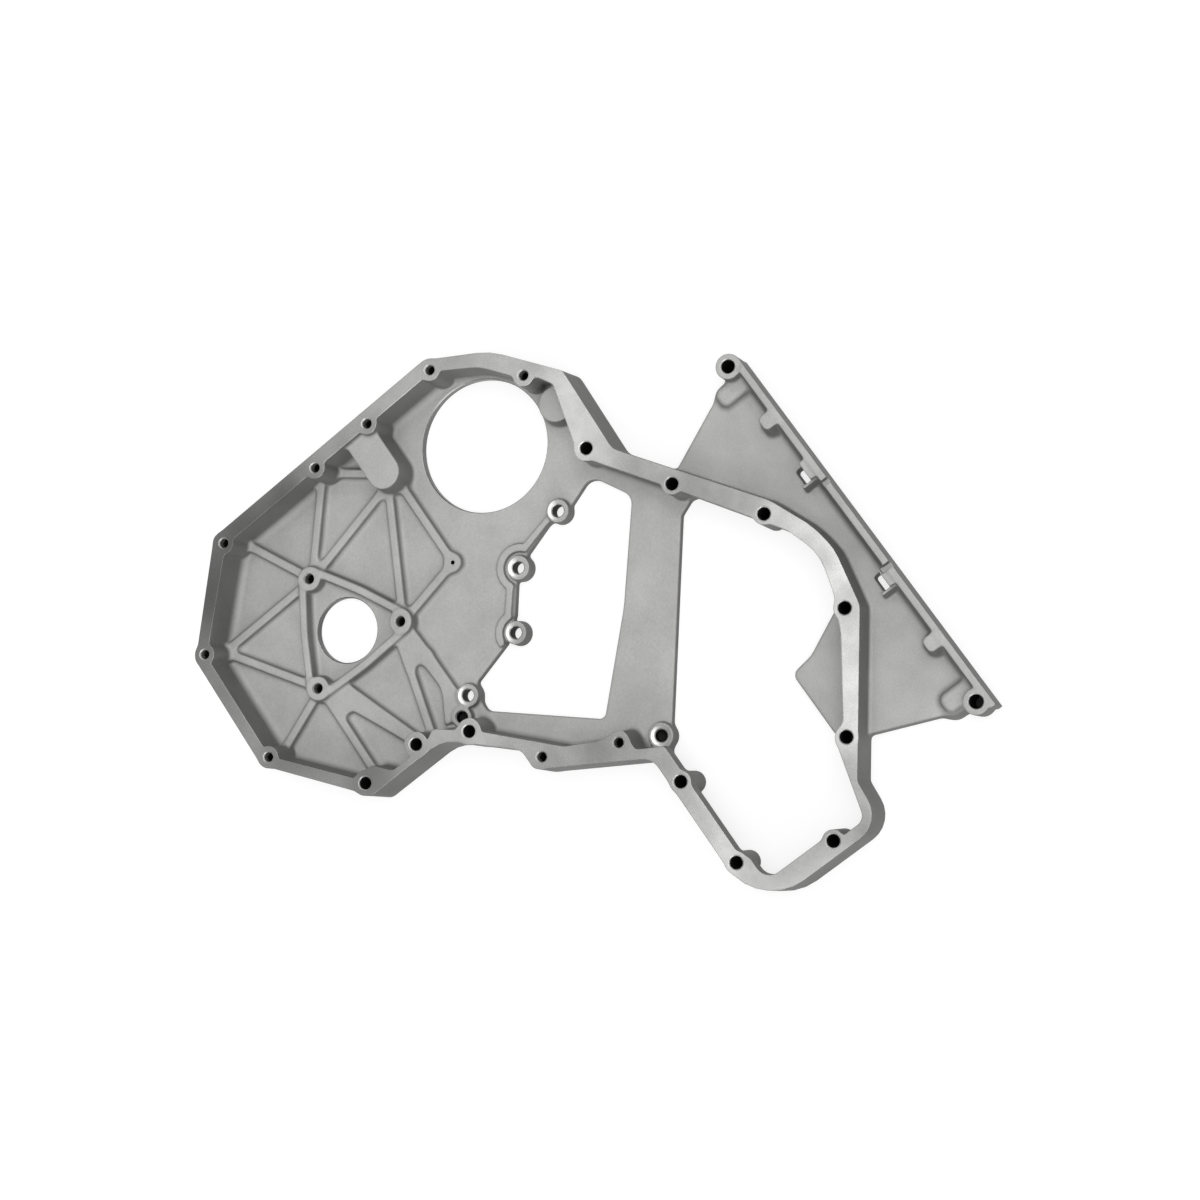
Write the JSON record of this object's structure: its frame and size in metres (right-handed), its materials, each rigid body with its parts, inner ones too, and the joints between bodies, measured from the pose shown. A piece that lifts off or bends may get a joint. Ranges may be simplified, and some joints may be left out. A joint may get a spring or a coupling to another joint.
{
  "type": "engine gear housing",
  "caption": "Cast aluminium timing gear housing with a ribbed gear pan, pump pad, round bore, crank and idler windows, bolted cover rim and sump flange.",
  "frame": {"origin": "centre of the bounding box's footprint on the block face, which lies on Z = 0", "axes": "+Z out of the cover face towards the front of the engine, +X along the sump rail towards the pump side, +Y up the engine, away from the sump rail"},
  "size_m": [0.4846, 0.4754, 0.035],
  "materials": {
    "cast_aluminium": "as-cast satin with a machined cover face"
  },
  "bodies": {
    "root": {"gear_housing": "cast_aluminium"}
  },
  "joints": []
}
